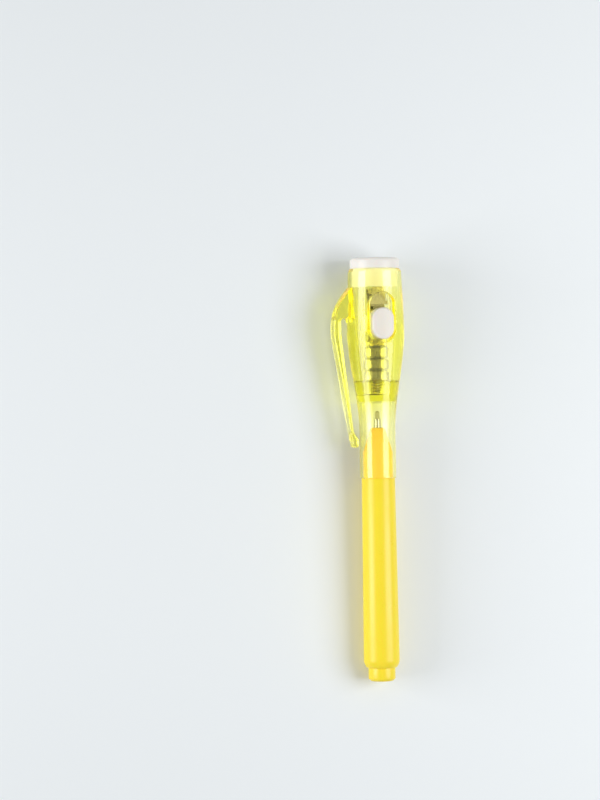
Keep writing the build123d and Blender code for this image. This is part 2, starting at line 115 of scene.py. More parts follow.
class NodeSheet:
    """Adds and joins nodes in one shader node tree."""

    def __init__(self, tree: bpy.types.NodeTree) -> None:
        """Work on the given tree."""
        self.tree = tree

    def add(self, kind: str, **values: object) -> bpy.types.Node:
        """Add a node and fill or join its inputs.

        Args:
            kind: Blender's name of the node type.
            values: Inputs by name, with _ for a space: a socket to join, or a value.

        Returns:
            The new node.
        """
        node = self.tree.nodes.new(kind)
        self.set_inputs(node, values)
        return node

    def set_inputs(self, node: bpy.types.Node, values: dict[str, object]) -> None:
        """Fill or join a node's inputs.

        Args:
            node: The node.
            values: Inputs by name, with _ for a space: a socket to join, or a value.
        """
        for name, value in values.items():
            self.feed(node.inputs[name.replace("_", " ")], value)

    def feed(self, socket: bpy.types.NodeSocket, value: object) -> None:
        """Join a socket to another, or set its value.

        Args:
            socket: The input.
            value: An output socket, or a plain value.
        """
        if isinstance(value, bpy.types.NodeSocket):
            self.tree.links.new(value, socket)
        else:
            socket.default_value = value

    def maths(self, operation: str, first: object, second: object) -> bpy.types.NodeSocket:
        """Add a Math node.

        Args:
            operation: Blender's name of the operation.
            first: First operand, a socket or a number.
            second: Second operand, a socket or a number.

        Returns:
            The node's output.
        """
        node = self.tree.nodes.new("ShaderNodeMath")
        node.operation = operation
        self.feed(node.inputs[0], first)
        self.feed(node.inputs[1], second)
        return node.outputs[0]

    def spread(
        self, value: object, low: object, high: object, floor: float = 0.3, ceiling: float = 0.7
    ) -> bpy.types.NodeSocket:
        """Map a value onto a range.

        Args:
            value: The value, such as a noise.
            low: Result at the floor.
            high: Result at the ceiling.
            floor: Value that gives low.
            ceiling: Value that gives high.

        Returns:
            The mapped value's socket.
        """
        node = self.add(
            "ShaderNodeMapRange", Value=value, From_Min=floor, From_Max=ceiling, To_Min=low, To_Max=high
        )
        return node.outputs["Result"]

    def object_place(self) -> bpy.types.NodeSocket:
        """Return the Object coordinates' socket."""
        return self.add("ShaderNodeTexCoord").outputs["Object"]

    def scaled_place(self, scale: object) -> bpy.types.NodeSocket:
        """Return Object coordinates multiplied by a scale vector.

        Args:
            scale: Vector or vector socket.

        Returns:
            The scaled coordinates' socket.
        """
        node = self.tree.nodes.new("ShaderNodeVectorMath")
        node.operation = "MULTIPLY"
        self.feed(node.inputs[0], self.object_place())
        self.feed(node.inputs[1], scale)
        return node.outputs["Vector"]


class EffectGroups:
    """Builds each shared shader node group once. Scales are in waves per metre."""

    NOISE_MEAN = 0.5
    SLOW_SHARE = 0.035
    RUB_STRETCH = (1.0, 0.07, 1.0)
    RUB_CELLS = 9.0
    RUB_WIDTH = 0.03
    PATCH_SCALE = 260.0
    STAIN_SCALE = 420.0
    STAIN_TONES = (0.86, 1.06)
    FIBRE_STRETCH = (1.0, 0.04, 1.0)
    FIBRE_TONES = (1.04, 0.78)
    FIBRE_REACH = 0.8

    @classmethod
    def get(cls, effect: Effect) -> bpy.types.NodeTree:
        """Return the group of an effect, and build it if it isn't there yet.

        Args:
            effect: The effect.

        Returns:
            Its node group.
        """
        group = bpy.data.node_groups.get(effect.value)
        if group is None:
            group = bpy.data.node_groups.new(effect.value, "ShaderNodeTree")
            builders = {
                Effect.MOULDED_SKIN: cls.moulded_skin,
                Effect.RUB_MARKS: cls.rub_marks,
                Effect.DRAWN_METAL: cls.drawn_metal,
                Effect.FIBRE_BUNDLE: cls.fibre_bundle,
            }
            builders[effect](group)
        return group

    @staticmethod
    def ports(
        group: bpy.types.NodeTree, inputs: dict[str, float], outputs: Sequence[str]
    ) -> tuple[NodeSheet, bpy.types.Node, bpy.types.Node]:
        """Give a group its float sockets.

        Args:
            group: The node group.
            inputs: Names and default values of its inputs.
            outputs: Names of its outputs.

        Returns:
            A sheet on the group, its input node and its output node.
        """
        for name, value in inputs.items():
            socket = group.interface.new_socket(name, in_out="INPUT", socket_type="NodeSocketFloat")
            socket.default_value = value
        for name in outputs:
            group.interface.new_socket(name, in_out="OUTPUT", socket_type="NodeSocketFloat")
        sheet = NodeSheet(group)
        return sheet, sheet.add("NodeGroupInput"), sheet.add("NodeGroupOutput")

    @classmethod
    def moulded_skin(cls, group: bpy.types.NodeTree) -> None:
        """Fine skin of a moulding: uneven gloss, a faint change of tone and a soft relief.

        Args:
            group: The group to fill. Grain is in waves per metre.
        """
        names = {"Grain": 3000.0, "Mottle": 0.05, "Rough From": 0.2, "Rough To": 0.4}
        sheet, given, result = cls.ports(group, names, ("Tone", "Roughness", "Height"))
        place = sheet.object_place()
        fine = sheet.add("ShaderNodeTexNoise", Vector=place, Scale=given.outputs["Grain"], Detail=3.0)
        slow_scale = sheet.maths("MULTIPLY", given.outputs["Grain"], cls.SLOW_SHARE)
        slow = sheet.add("ShaderNodeTexNoise", Vector=place, Scale=slow_scale, Detail=2.0)
        both = sheet.maths("ADD", fine.outputs["Fac"], slow.outputs["Fac"])
        rough = sheet.spread(
            both, given.outputs["Rough From"], given.outputs["Rough To"], floor=0.7, ceiling=1.3
        )
        swing = sheet.maths("SUBTRACT", slow.outputs["Fac"], cls.NOISE_MEAN)
        tone = sheet.maths("ADD", sheet.maths("MULTIPLY", swing, given.outputs["Mottle"]), 1.0)
        sheet.feed(result.inputs["Tone"], tone)
        sheet.feed(result.inputs["Roughness"], rough)
        sheet.feed(result.inputs["Height"], fine.outputs["Fac"])

    @classmethod
    def rub_marks(cls, group: bpy.types.NodeTree) -> None:
        """Sparse hair lines along the pen, as handling leaves them.

        Args:
            group: The group to fill. Fineness is in lines per metre.
        """
        names = {"Fineness": 900.0, "Amount": 0.5}
        sheet, given, result = cls.ports(group, names, ("Mask",))
        place = sheet.scaled_place(cls.RUB_STRETCH)
        wander = sheet.add("ShaderNodeTexNoise", Vector=place, Scale=given.outputs["Fineness"], Detail=1.0)
        lines = sheet.add("ShaderNodeTexVoronoi", Vector=wander.outputs["Color"], Scale=cls.RUB_CELLS)
        lines.feature = "DISTANCE_TO_EDGE"
        thin = sheet.spread(lines.outputs["Distance"], 1.0, 0.0, floor=0.0, ceiling=cls.RUB_WIDTH)
        whole = sheet.object_place()
        patch = sheet.add("ShaderNodeTexNoise", Vector=whole, Scale=cls.PATCH_SCALE, Detail=1.0)
        there = sheet.spread(patch.outputs["Fac"], 0.0, given.outputs["Amount"], floor=0.5, ceiling=0.65)
        sheet.feed(result.inputs["Mask"], sheet.maths("MULTIPLY", thin, there))

    @classmethod
    def drawn_metal(cls, group: bpy.types.NodeTree) -> None:
        """Fine lines of rolled or drawn metal and its uneven gloss.

        Args:
            group: The group to fill. Across and Along are in waves per metre, across and along the pen.
        """
        names = {"Across": 9000.0, "Along": 300.0, "Rough From": 0.2, "Rough To": 0.4}
        sheet, given, result = cls.ports(group, names, ("Tone", "Roughness", "Height"))
        across, along = given.outputs["Across"], given.outputs["Along"]
        scale = sheet.add("ShaderNodeCombineXYZ", X=across, Y=along, Z=across)
        place = sheet.scaled_place(scale.outputs["Vector"])
        lines = sheet.add("ShaderNodeTexNoise", Vector=place, Scale=1.0, Detail=2.0)
        whole = sheet.object_place()
        stain = sheet.add("ShaderNodeTexNoise", Vector=whole, Scale=cls.STAIN_SCALE, Detail=2.0)
        both = sheet.maths("ADD", lines.outputs["Fac"], stain.outputs["Fac"])
        rough = sheet.spread(
            both, given.outputs["Rough From"], given.outputs["Rough To"], floor=0.75, ceiling=1.25
        )
        sheet.feed(result.inputs["Tone"], sheet.spread(stain.outputs["Fac"], *cls.STAIN_TONES))
        sheet.feed(result.inputs["Roughness"], rough)
        sheet.feed(result.inputs["Height"], lines.outputs["Fac"])

    @classmethod
    def fibre_bundle(cls, group: bpy.types.NodeTree) -> None:
        """Parallel fibres along the pen.

        Args:
            group: The group to fill. Fineness is in fibres per metre.
        """
        sheet, given, result = cls.ports(group, {"Fineness": 9000.0}, ("Tone", "Height"))
        lay = sheet.scaled_place(cls.FIBRE_STRETCH)
        strands = sheet.add("ShaderNodeTexVoronoi", Vector=lay, Scale=given.outputs["Fineness"])
        far = strands.outputs["Distance"]
        tone = sheet.spread(far, *cls.FIBRE_TONES, floor=0.1, ceiling=cls.FIBRE_REACH)
        height = sheet.spread(far, 1.0, 0.0, floor=0.0, ceiling=cls.FIBRE_REACH)
        sheet.feed(result.inputs["Tone"], tone)
        sheet.feed(result.inputs["Height"], height)


@dataclass(frozen=True)
class Finish:
    """A named finish that turns into one material."""

    name: str

    def material(self) -> bpy.types.Material:
        """Return the finish's material, and build it the first time.

        Returns:
            The material.
        """
        title = self.name + "_finish"
        made = bpy.data.materials.get(title)
        if made is None:
            made = bpy.data.materials.new(title)
            made.use_nodes = True
            made.node_tree.nodes.clear()
            sheet = NodeSheet(made.node_tree)
            shader = sheet.add("ShaderNodeBsdfPrincipled")
            output = sheet.add("ShaderNodeOutputMaterial")
            self.fill(sheet, shader, output)
        return made

    def fill(self, sheet: NodeSheet, shader: bpy.types.Node, output: bpy.types.Node) -> None:
        """Set the shader up and join it to the output; each kind of finish has its own way.

        Args:
            sheet: The material's node sheet.
            shader: Its Principled shader.
            output: Its output node.
        """
        raise NotImplementedError

    @staticmethod
    def effect(sheet: NodeSheet, effect: Effect, **values: float) -> bpy.types.Node:
        """Place a shared effect in the material.

        Args:
            sheet: The material's node sheet.
            effect: The effect.
            values: The group's inputs by name, with _ for a space.

        Returns:
            The group node.
        """
        node = sheet.add("ShaderNodeGroup")
        node.node_tree = EffectGroups.get(effect)
        sheet.set_inputs(node, values)
        return node

    @staticmethod
    def toned(sheet: NodeSheet, colour: str, tone: bpy.types.NodeSocket) -> bpy.types.NodeSocket:
        """Vary a colour's brightness over the surface.

        Args:
            sheet: The material's node sheet.
            colour: The screen colour.
            tone: Socket of the factor.

        Returns:
            The varied colour's socket.
        """
        node = sheet.add("ShaderNodeHueSaturation", Color=paint(colour), Value=tone)
        return node.outputs["Color"]

    @staticmethod
    def relief(sheet: NodeSheet, shader: bpy.types.Node, height: bpy.types.NodeSocket, depth: float) -> None:
        """Feed a soft relief to the shader's normal.

        Args:
            sheet: The material's node sheet.
            shader: The Principled shader.
            height: Socket of the relief's height.
            depth: Depth of the relief in metres.
        """
        bump = sheet.add("ShaderNodeBump", Height=height, Distance=depth, Strength=1.0)
        sheet.feed(shader.inputs["Normal"], bump.outputs["Normal"])


@dataclass(frozen=True)
class MouldedPlastic(Finish):
    """Opaque moulded plastic."""

    colour: str
    rough: Span
    grain: float
    mottle: float
    relief_depth: float
    soak: float = 0.0
    soak_depth: float = 0.0

    def fill(self, sheet: NodeSheet, shader: bpy.types.Node, output: bpy.types.Node) -> None:
        """Moulded skin with a few rub marks, and light that soaks in a little.

        Args:
            sheet: The material's node sheet.
            shader: Its Principled shader.
            output: Its output node.
        """
        skin = self.effect(
            sheet, Effect.MOULDED_SKIN,
            Grain=self.grain, Mottle=self.mottle, Rough_From=self.rough[0], Rough_To=self.rough[1],
        )
        marks = self.effect(sheet, Effect.RUB_MARKS, Fineness=900.0, Amount=0.18)
        sheet.feed(shader.inputs["Base Color"], self.toned(sheet, self.colour, skin.outputs["Tone"]))
        rough = sheet.maths("ADD", skin.outputs["Roughness"], marks.outputs["Mask"])
        sheet.feed(shader.inputs["Roughness"], rough)
        shader.inputs["IOR"].default_value = PLASTIC_INDEX
        shader.inputs["Subsurface Weight"].default_value = self.soak
        shader.inputs["Subsurface Scale"].default_value = self.soak_depth
        self.relief(sheet, shader, skin.outputs["Height"], self.relief_depth)
        sheet.feed(output.inputs["Surface"], shader.outputs["BSDF"])


@dataclass(frozen=True)
class ClearPlastic(Finish):
    """See-through plastic whose colour deepens with its thickness, and which may carry a painted glow: a
    faint emission that stands in for the plastic's fluorescence.
    """

    tint: tuple[float, float, float]
    density: float
    index: float
    rough: Span
    wave: float
    wave_depth: float
    # Colour and strength of a painted glow: emission that lights the plastic though it is no lamp.
    painted_glow: str = "000000"
    painted_glow_strength: float = 0.0

    def fill(self, sheet: NodeSheet, shader: bpy.types.Node, output: bpy.types.Node) -> None:
        """Clear shader with an absorbing inside; lamps shine through it.

        Args:
            sheet: The material's node sheet.
            shader: Its Principled shader.
            output: Its output node.
        """
        skin = self.effect(
            sheet, Effect.MOULDED_SKIN,
            Grain=self.wave, Mottle=0.0, Rough_From=self.rough[0], Rough_To=self.rough[1],
        )
        shader.inputs["Base Color"].default_value = (1.0, 1.0, 1.0, 1.0)
        shader.inputs["Transmission Weight"].default_value = 1.0
        # Painted glow: a constant emission that brightens the plastic as if light fell on it.
        shader.inputs["Emission Color"].default_value = paint(self.painted_glow)
        shader.inputs["Emission Strength"].default_value = self.painted_glow_strength
        shader.inputs["IOR"].default_value = self.index
        sheet.feed(shader.inputs["Roughness"], skin.outputs["Roughness"])
        self.relief(sheet, shader, skin.outputs["Height"], self.wave_depth)
        clear = sheet.add("ShaderNodeBsdfTransparent", Color=(WALL_PASS, WALL_PASS, WALL_PASS, 1.0))
        light = sheet.add("ShaderNodeLightPath")
        surface = sheet.add("ShaderNodeMixShader", Fac=light.outputs["Is Shadow Ray"])
        sheet.feed(surface.inputs[1], shader.outputs["BSDF"])
        sheet.feed(surface.inputs[2], clear.outputs["BSDF"])
        sheet.feed(output.inputs["Surface"], surface.outputs["Shader"])
        if self.density > 0:
            inside = sheet.add("ShaderNodeVolumeAbsorption", Color=(*self.tint, 1.0), Density=self.density)
            sheet.feed(output.inputs["Volume"], inside.outputs["Volume"])


@dataclass(frozen=True)
class PlatedMetal(Finish):
    """Plated or plain metal with fine rolling lines."""

    colour: str
    rough: Span
    across: float
    along: float
    line_depth: float

    def fill(self, sheet: NodeSheet, shader: bpy.types.Node, output: bpy.types.Node) -> None:
        """Metal with drawn lines and faint stains.

        Args:
            sheet: The material's node sheet.
            shader: Its Principled shader.
            output: Its output node.
        """
        drawn = self.effect(
            sheet, Effect.DRAWN_METAL,
            Across=self.across, Along=self.along, Rough_From=self.rough[0], Rough_To=self.rough[1],
        )
        shader.inputs["Metallic"].default_value = 1.0
        sheet.feed(shader.inputs["Base Color"], self.toned(sheet, self.colour, drawn.outputs["Tone"]))
        sheet.feed(shader.inputs["Roughness"], drawn.outputs["Roughness"])
        self.relief(sheet, shader, drawn.outputs["Height"], self.line_depth)
        sheet.feed(output.inputs["Surface"], shader.outputs["BSDF"])


@dataclass(frozen=True)
class FibreRod(Finish):
    """Bundled fibres, matt, with light that soaks in."""

    colour: str
    fineness: float
    depth: float
    rough: float = 0.85

    def fill(self, sheet: NodeSheet, shader: bpy.types.Node, output: bpy.types.Node) -> None:
        """Fibres that run along the pen.

        Args:
            sheet: The material's node sheet.
            shader: Its Principled shader.
            output: Its output node.
        """
        fibres = self.effect(sheet, Effect.FIBRE_BUNDLE, Fineness=self.fineness)
        sheet.feed(shader.inputs["Base Color"], self.toned(sheet, self.colour, fibres.outputs["Tone"]))
        shader.inputs["Roughness"].default_value = self.rough
        self.relief(sheet, shader, fibres.outputs["Height"], self.depth)
        sheet.feed(output.inputs["Surface"], shader.outputs["BSDF"])


BARREL_YELLOW = MouldedPlastic(
    name="barrel_yellow", colour="ffe42c", rough=(0.26, 0.38), grain=2600.0, mottle=0.05,
    relief_depth=0.0015 * MM, soak=0.12, soak_depth=1.2 * MM,
)
GRIP_YELLOW = MouldedPlastic(
    name="grip_yellow", colour="f8ca12", rough=(0.3, 0.42), grain=2600.0, mottle=0.05,
    relief_depth=0.0015 * MM, soak=0.12, soak_depth=1.2 * MM,
)
PLUG_WHITE = MouldedPlastic(
    name="plug_white", colour="f1ece4", rough=(0.3, 0.44), grain=2800.0, mottle=0.03,
    relief_depth=0.002 * MM, soak=0.1, soak_depth=1.0 * MM,
)
BUTTON_WHITE = MouldedPlastic(
    name="button_white", colour="efe8dd", rough=(0.36, 0.5), grain=3200.0, mottle=0.03,
    relief_depth=0.002 * MM, soak=0.1, soak_depth=1.0 * MM,
)
GASKET_GREY = MouldedPlastic(
    name="gasket_grey", colour="262628", rough=(0.4, 0.55), grain=3500.0, mottle=0.1, relief_depth=0.002 * MM,
)
FILM_CLEAR = ClearPlastic(
    name="film_clear", tint=(1.0, 1.0, 1.0), density=0.0, index=PLASTIC_INDEX, rough=(0.1, 0.2),
    wave=400.0, wave_depth=0.02 * MM,
)
# The cap carries a faint painted glow, an emission that lightens it as if it were lit.
CAP_LEMON = ClearPlastic(
    name="cap_lemon", tint=(1.0, 0.99, 0.03), density=330.0, index=PLASTIC_INDEX, rough=(0.04, 0.09),
    wave=160.0, wave_depth=0.004 * MM, painted_glow="ffec3c", painted_glow_strength=0.018,
)
HOLDER_CLEAR = ClearPlastic(
    name="holder_clear", tint=(0.98, 0.92, 0.3), density=160.0, index=1.49, rough=(0.03, 0.09),
    wave=300.0, wave_depth=0.004 * MM,
)
LENS_CLEAR = ClearPlastic(
    name="lens_clear", tint=(0.9, 0.86, 0.97), density=60.0, index=1.54, rough=(0.01, 0.03),
    wave=300.0, wave_depth=0.002 * MM,
)
CELL_NICKEL = PlatedMetal(
    name="cell_nickel", colour="928e80", rough=(0.18, 0.34), across=5000.0, along=200.0,
    line_depth=0.001 * MM,
)
CONTACT_BRASS = PlatedMetal(
    name="contact_brass", colour="988f54", rough=(0.22, 0.38), across=9000.0, along=300.0,
    line_depth=0.0015 * MM,
)
LEG_TIN = PlatedMetal(
    name="leg_tin", colour="c8c7c3", rough=(0.28, 0.45), across=9000.0, along=600.0,
    line_depth=0.0015 * MM,
)
SLEEVE_NICKEL = PlatedMetal(
    name="sleeve_nickel", colour="b1ae9f", rough=(0.15, 0.28), across=6000.0, along=400.0,
    line_depth=0.001 * MM,
)
NIB_FELT = FibreRod(name="nib_felt", colour="bbb78e", fineness=9000.0, depth=0.03 * MM)
INK_FELT = FibreRod(name="ink_felt", colour="eceae2", fineness=6000.0, depth=0.04 * MM)
FLOOR_PALE = MouldedPlastic(
    name="floor", colour="f2f6f8", rough=(0.7, 0.8), grain=200.0, mottle=0.01, relief_depth=0.0,
)


def place_of(node: str) -> tuple[Vector, Vector]:
    """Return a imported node's lowest and highest corner in millimetres.

    Args:
        node: The node's name.

    Returns:
        The two corners.
    """
    low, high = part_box(node)
    return low / MM, high / MM


def arc(centre: Point, radius: float, start: float, end: float, steps: int) -> list[Point]:
    """Points on a round stretch of an outline.

    Args:
        centre: The arc's centre.
        radius: Its radius.
        start: Start angle in radians.
        end: End angle in radians.
        steps: Number of equal steps.

    Returns:
        The points, both ends included.
    """
    angles = [start + (end - start) * step / steps for step in range(steps + 1)]
    return [(centre[0] + radius * math.cos(a), centre[1] + radius * math.sin(a)) for a in angles]


def round_edges(shape: bmesh.types.BMesh, width: float, angle: float = SHARP_ANGLE) -> None:
    """Round every edge that is sharper than an angle.

    Args:
        shape: The shape, changed in place.
        width: How far the rounding reaches from the edge.
        angle: Edges with a larger angle between their faces are rounded.
    """
    edges = [edge for edge in shape.edges if edge.is_manifold and edge.calc_face_angle() > angle]
    bmesh.ops.bevel(
        shape, geom=edges, offset=width, offset_type="OFFSET", segments=EDGE_STEPS, profile=0.5,
        affect="EDGES", clamp_overlap=True, material=-1,
    )


def turned(
    outline: Sequence[Point], closed: bool, edge: float, segments: int = ROUND_SEGMENTS
) -> bmesh.types.BMesh:
    """Spin a half outline about the pen's axis.

    Args:
        outline: Points of radius and place along the pen.
        closed: Whether the outline closes on itself, as a tube's does; otherwise it runs from axis to axis.
        edge: Rounding of its sharp edges, or 0 for none.
        segments: Steps round the axis.

    Returns:
        The closed shape.
    """
    shape = bmesh.new()
    points = [shape.verts.new((radius, along, 0)) for radius, along in outline]
    ends = points[1:] + points[:1] if closed else points[1:]
    lines = [shape.edges.new(pair) for pair in zip(points, ends)]
    bmesh.ops.spin(
        shape, geom=points + lines, cent=(0, 0, 0), axis=PEN_AXIS, angle=math.tau, steps=segments,
        use_merge=True,
    )
    bmesh.ops.remove_doubles(shape, verts=shape.verts, dist=MERGE_DISTANCE)
    bmesh.ops.recalc_face_normals(shape, faces=shape.faces)
    if edge > 0:
        round_edges(shape, edge)
    return shape


def bar(low: Vector, high: Vector, edge: float) -> bmesh.types.BMesh:
    """Block between two corners with rounded edges.

    Args:
        low: Lowest corner.
        high: Highest corner.
        edge: Rounding of the edges.

    Returns:
        The shape.
    """
    shape = bmesh.new()
    bmesh.ops.create_cube(shape, size=1.0)
    bmesh.ops.scale(shape, vec=high - low, verts=shape.verts)
    bmesh.ops.translate(shape, vec=(low + high) / 2, verts=shape.verts)
    round_edges(shape, edge)
    return shape


class SubAssembly:
    """What every sub-assembly does with its pieces."""

    def build(self) -> list[bpy.types.Object]:
        """Make and dress the pieces; each sub-assembly has its own.

        Returns:
            The pieces.
        """
        raise NotImplementedError

    @staticmethod
    def dress(node: str, finish: Finish) -> bpy.types.Object:
        """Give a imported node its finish.

        Args:
            node: The node's name.
            finish: The finish.

        Returns:
            The node's object.
        """
        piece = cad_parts[node]
        piece.data.materials.clear()
        piece.data.materials.append(finish.material())
        return piece

    @staticmethod
    def add(
        name: str,
        shape: bmesh.types.BMesh,
        finish: Finish,
        body: Body,
        slot: Slot | None = None,
        stands_for: str = "",
    ) -> bpy.types.Object:
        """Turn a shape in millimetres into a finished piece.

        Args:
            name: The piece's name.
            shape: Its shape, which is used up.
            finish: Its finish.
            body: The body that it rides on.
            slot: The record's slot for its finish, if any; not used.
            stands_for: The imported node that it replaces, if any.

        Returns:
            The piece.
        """
        bmesh.ops.scale(shape, vec=(MM, MM, MM), verts=shape.verts)
        mesh = bpy.data.meshes.new(name)
        shape.to_mesh(mesh)
        shape.free()
        mesh.shade_smooth()
        mesh.set_sharp_from_angle(angle=SHARP_ANGLE)
        mesh.materials.append(finish.material())
        piece = bpy.data.objects.new(name, mesh)
        bpy.context.scene.collection.objects.link(piece)
        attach(piece, body.value)
        if stands_for:
            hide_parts(stands_for)
        return piece


@dataclass
class PenBody(SubAssembly):
    """Opaque barrel and the plug in its tail. Sizes are in millimetres."""

    front_radius: float = 5.2
    bore_radius: float = 3.85
    end_radius: float = 4.7
    end_round: float = 2.4
    lip_edge: float = 0.12
    plug_chamfer: float = 0.7
    plug_wall: float = 1.2
    gate_radius: float = 0.8
    gate_depth: float = 0.2

    def barrel(self) -> bmesh.types.BMesh:
        """Tapered tube with a rounded tail end.

        Returns:
            The closed shape in millimetres.
        """
        low, high = place_of("barrel")
        overhang = high.x - self.end_radius
        radius = (overhang ** 2 + self.end_round ** 2) / (2 * overhang)
        centre = (high.x - radius, low.y + self.end_round)
        tail = arc(centre, radius, -math.asin(self.end_round / radius), 0.0, ARC_STEPS)
        front = [(self.front_radius, high.y), (self.bore_radius, high.y), (self.bore_radius, low.y)]
        return turned(tail + front, True, self.lip_edge)

    def tail_plug(self) -> bmesh.types.BMesh:
        """Hollow plug with a chamfered head and the small dimple of its mould gate.

        Returns:
            The closed shape in millimetres.
        """
        low, high = place_of("tail_plug")
        seat = place_of("barrel")[0].y
        spigot = self.bore_radius
        hollow = spigot - self.plug_wall
        outline = [
            (0, low.y + self.gate_depth),
            (self.gate_radius / 2, low.y + self.gate_depth),
            (self.gate_radius, low.y),
            (high.x - self.plug_chamfer, low.y),
            (high.x, low.y + self.plug_chamfer),
            (high.x, seat),
            (spigot, seat),
            (spigot, high.y),
            (hollow, high.y),
            (hollow, seat),
            (0, seat),
        ]
        return turned(outline, False, self.lip_edge)

    def build(self) -> list[bpy.types.Object]:
        """Make both pieces.

        Returns:
            The pieces.
        """
        return [
            self.add("barrel_tube", self.barrel(), BARREL_YELLOW, Body.PEN, Slot.OPAQUE_YELLOW, "barrel"),
            self.add(
                "tail_stopper", self.tail_plug(), BARREL_YELLOW, Body.PEN, Slot.OPAQUE_YELLOW, "tail_plug"
            ),
        ]


@dataclass
class WritingEnd(SubAssembly):
    """Grip section, nib and ink store. Sizes are in millimetres."""

    neck_length: float = 8.0
    nose_radius: float = 2.4
    nose_edge: float = 0.5
    spigot_radius: float = 3.83
    bore_radius: float = 0.97
    edge: float = 0.12

    def grip(self) -> bmesh.types.BMesh:
        """Collar in the cap's bore and a cone to the nib.

        Returns:
            The closed shape in millimetres.
        """
        low, high = place_of("grip_section")
        seat = place_of("barrel")[1].y
        outline = [
            (self.bore_radius, low.y),
            (self.spigot_radius, low.y),
            (self.spigot_radius, seat),
            (high.x, seat),
            (high.x, seat + self.neck_length),
            (self.nose_radius, high.y - self.nose_edge),
            (self.nose_radius - self.nose_edge, high.y),
            (self.bore_radius, high.y),
        ]
        return turned(outline, True, self.edge)

    def build(self) -> list[bpy.types.Object]:
        """Make the grip and dress the rest.

        Returns:
            The pieces.
        """
        return [
            self.add("grip_cone", self.grip(), GRIP_YELLOW, Body.PEN, Slot.GRIP_YELLOW, "grip_section"),
            self.dress("nib_sleeve", SLEEVE_NICKEL),
            self.dress("nib", NIB_FELT),
            self.dress("ink_reservoir", INK_FELT),
            self.dress("reservoir_film", FILM_CLEAR),
        ]


@dataclass
class CapMoulding(SubAssembly):
    """See-through cap with its pocket clip."""

    def build(self) -> list[bpy.types.Object]:
        """Dress the cap."""
        return [self.dress("cap_shell", CAP_LEMON)]


@dataclass
class CellPack(SubAssembly):
    """Three button cells with their holder, spring and return strip. Sizes are in millimetres."""

    count: int = 3
    corner: float = 0.35
    step: float = 0.55
    face_radius: float = 3.2
    lip_radius: float = 3.45
    groove: float = 0.35
    edge: float = 0.07
    gasket_gap: float = 0.01
    gasket_rise: float = 0.48

    def cell(self, node: str) -> bmesh.types.BMesh:
        """Can with a crimped rim, and the raised face inside the rim.

        Args:
            node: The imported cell.

        Returns:
            The shape.
        """
        low, high = place_of(node)
        rim = high.y - self.step
        outline = [
            (0, low.y),
            (high.x - self.corner, low.y),
            (high.x, low.y + self.corner),
            (high.x, rim - self.corner),
            (high.x - self.corner, rim),
            (self.lip_radius, rim),
            (self.lip_radius, rim - self.groove),
            (self.face_radius, rim - self.groove),
            (self.face_radius, high.y),
            (0, high.y),
        ]
        return turned(outline, False, self.edge, SMALL_SEGMENTS)

    def gasket(self, node: str) -> bmesh.types.BMesh:
        """Insulating ring in the groove between rim and face.

        Args:
            node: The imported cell.

        Returns:
            The shape.
        """
        rim = place_of(node)[1].y - self.step
        inner = self.face_radius + self.gasket_gap
        outer = self.lip_radius - self.gasket_gap
        floor = rim - self.groove + self.gasket_gap
        top = rim + self.gasket_rise
        outline = [(inner, floor), (outer, floor), (outer, top - self.edge), (inner, top)]
        return turned(outline, True, self.edge / 2, SMALL_SEGMENTS)

    def build(self) -> list[bpy.types.Object]:
        """Make the cells and dress the rest.

        Returns:
            The pieces.
        """
        pieces = []
        for number in range(1, self.count + 1):
            node = f"button_cell_{number}"
            can = self.cell(node)
            ring = self.gasket(node)
            pieces.append(self.add(f"cell_{number}", can, CELL_NICKEL, Body.CAP, Slot.CELL_STEEL, node))
            pieces.append(self.add(f"cell_gasket_{number}", ring, GASKET_GREY, Body.CAP))
        pieces.append(self.dress("cell_carrier", HOLDER_CLEAR))
        pieces.append(self.dress("contact_spring", CONTACT_BRASS))
        pieces.append(self.dress("return_strip", CONTACT_BRASS))
        return pieces


@dataclass
class Switch(SubAssembly):
    """Push button, springy leaf and the contacts that it joins. Sizes are in millimetres."""

    leaf_edge: float = 0.06

    def build(self) -> list[bpy.types.Object]:
        """Make the leaf and dress the rest.

        Returns:
            The pieces.
        """
        leaf = bar(*place_of("switch_leaf"), self.leaf_edge)
        return [
            self.dress("button", BUTTON_WHITE),
            self.dress("cell_contact", CONTACT_BRASS),
            self.dress("lamp_plate", CONTACT_BRASS),
            self.add("contact_leaf", leaf, CONTACT_BRASS, Body.LEAF, Slot.CONTACT_METAL, "switch_leaf"),
        ]


